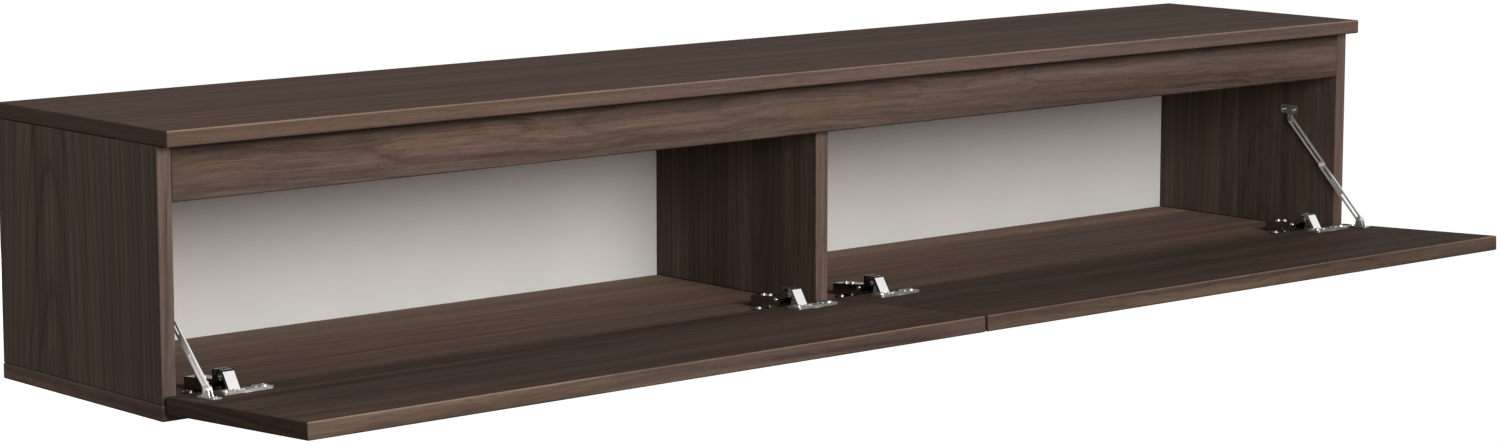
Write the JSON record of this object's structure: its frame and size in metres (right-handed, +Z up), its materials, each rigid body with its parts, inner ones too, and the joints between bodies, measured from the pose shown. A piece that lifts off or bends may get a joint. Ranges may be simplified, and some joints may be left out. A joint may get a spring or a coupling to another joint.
{
  "type": "wall-hung media console",
  "caption": "Long low wall-hung cabinet with an overhanging top, an open divided compartment under a front rail, and drop-down flaps on cup hinges and folding slotted stays",
  "frame": {"origin": "on the wall plane, at the middle of the console's length, at the height of the wall screws", "axes": "X runs along the wall to the viewer's right, Y runs into the wall, Z runs up; the flaps open towards -Y"},
  "size_m": [1.8, 0.5645, 0.294],
  "materials": {
    "veneer": "dark walnut veneer, satin lacquer",
    "rail_veneer": "dark walnut veneer, satin lacquer, straight grain",
    "back_board": "pale grey painted fibreboard, matt",
    "nickel": "nickel-plated steel, polished",
    "dark_steel": "plated steel, duller",
    "beech": "plain beech dowel"
  },
  "bodies": {
    "carcass": {"top_panel": "veneer", "bottom_panel": "veneer", "left_side_panel": "veneer", "right_side_panel": "veneer", "centre_divider": "veneer", "left_hanging_rail": "veneer", "right_hanging_rail": "veneer", "front_rail": "rail_veneer", "back_panel": "back_board", "dowel_bottom_left_front": "beech", "dowel_bottom_left_rear": "beech", "dowel_bottom_middle_front": "beech", "dowel_bottom_middle_rear": "beech", "dowel_bottom_right_front": "beech", "dowel_bottom_right_rear": "beech", "dowel_top_left_front": "beech", "dowel_top_left_rear": "beech", "dowel_top_middle_front": "beech", "dowel_top_middle_rear": "beech", "dowel_top_right_front": "beech", "dowel_top_right_rear": "beech", "left_inner_hinge_mounting_plate": "nickel", "left_inner_hinge_arm": "nickel", "left_outer_hinge_mounting_plate": "nickel", "left_outer_hinge_arm": "nickel", "left_stay_side_bracket": "nickel", "right_inner_hinge_mounting_plate": "nickel", "right_inner_hinge_arm": "nickel", "right_outer_hinge_mounting_plate": "nickel", "right_outer_hinge_arm": "nickel", "right_stay_side_bracket": "nickel"},
    "left_hinge_links": {"left_inner_hinge_link": "nickel", "left_inner_hinge_inner_link": "dark_steel", "left_outer_hinge_link": "nickel", "left_outer_hinge_inner_link": "dark_steel"},
    "left_flap_body": {"left_flap": "veneer", "left_inner_hinge_cup": "nickel", "left_outer_hinge_cup": "nickel", "left_stay_foot": "dark_steel"},
    "left_upper_stay": {"left_stay_upper_link": "nickel"},
    "left_lower_stay": {"left_stay_lower_link": "nickel", "left_stay_slide_pin": "nickel"},
    "right_hinge_links": {"right_inner_hinge_link": "nickel", "right_inner_hinge_inner_link": "dark_steel", "right_outer_hinge_link": "nickel", "right_outer_hinge_inner_link": "dark_steel"},
    "right_flap_body": {"right_flap": "veneer", "right_inner_hinge_cup": "nickel", "right_outer_hinge_cup": "nickel", "right_stay_foot": "dark_steel"},
    "right_upper_stay": {"right_stay_upper_link": "nickel"},
    "right_lower_stay": {"right_stay_lower_link": "nickel", "right_stay_slide_pin": "nickel"}
  },
  "joints": [
    {"name": "left_links_turn", "type": "hinge", "parent": "carcass", "child": "left_hinge_links", "pos_m": [0, -0.31413, -0.204], "axis": [1, 0, 0], "range_deg": [0, 54.95]},
    {"name": "left_flap_turn", "type": "hinge", "parent": "left_hinge_links", "child": "left_flap_body", "pos_m": [0, -0.33153, -0.21577], "axis": [-1, 0, 0], "range_deg": [0, 142.13]},
    {"name": "left_upper_stay_turn", "type": "hinge", "parent": "carcass", "child": "left_upper_stay", "pos_m": [0, -0.2375, -0.0831], "axis": [1, 0, 0], "range_deg": [0, 9.02]},
    {"name": "left_lower_stay_turn", "type": "hinge", "parent": "left_flap_body", "child": "left_lower_stay", "pos_m": [0, -0.36049, -0.20394], "axis": [1, 0, 0], "range_deg": [0, 104.45]},
    {"name": "right_links_turn", "type": "hinge", "parent": "carcass", "child": "right_hinge_links", "pos_m": [0, -0.31413, -0.204], "axis": [1, 0, 0], "range_deg": [0, 54.95]},
    {"name": "right_flap_turn", "type": "hinge", "parent": "right_hinge_links", "child": "right_flap_body", "pos_m": [0, -0.33153, -0.21577], "axis": [-1, 0, 0], "range_deg": [0, 142.13]},
    {"name": "right_upper_stay_turn", "type": "hinge", "parent": "carcass", "child": "right_upper_stay", "pos_m": [0, -0.2375, -0.0831], "axis": [1, 0, 0], "range_deg": [0, 9.02]},
    {"name": "right_lower_stay_turn", "type": "hinge", "parent": "right_flap_body", "child": "right_lower_stay", "pos_m": [0, -0.36049, -0.20394], "axis": [1, 0, 0], "range_deg": [0, 104.45]}
  ],
  "couplings": [
    {"joint": "left_links_turn", "follows": "left_flap_turn", "ratio": 0.38647},
    {"joint": "left_upper_stay_turn", "follows": "left_flap_turn", "ratio": 0.063323},
    {"joint": "left_lower_stay_turn", "follows": "left_flap_turn", "ratio": 0.73478},
    {"joint": "right_links_turn", "follows": "right_flap_turn", "ratio": 0.38647},
    {"joint": "right_upper_stay_turn", "follows": "right_flap_turn", "ratio": 0.063323},
    {"joint": "right_lower_stay_turn", "follows": "right_flap_turn", "ratio": 0.73478}
  ]
}
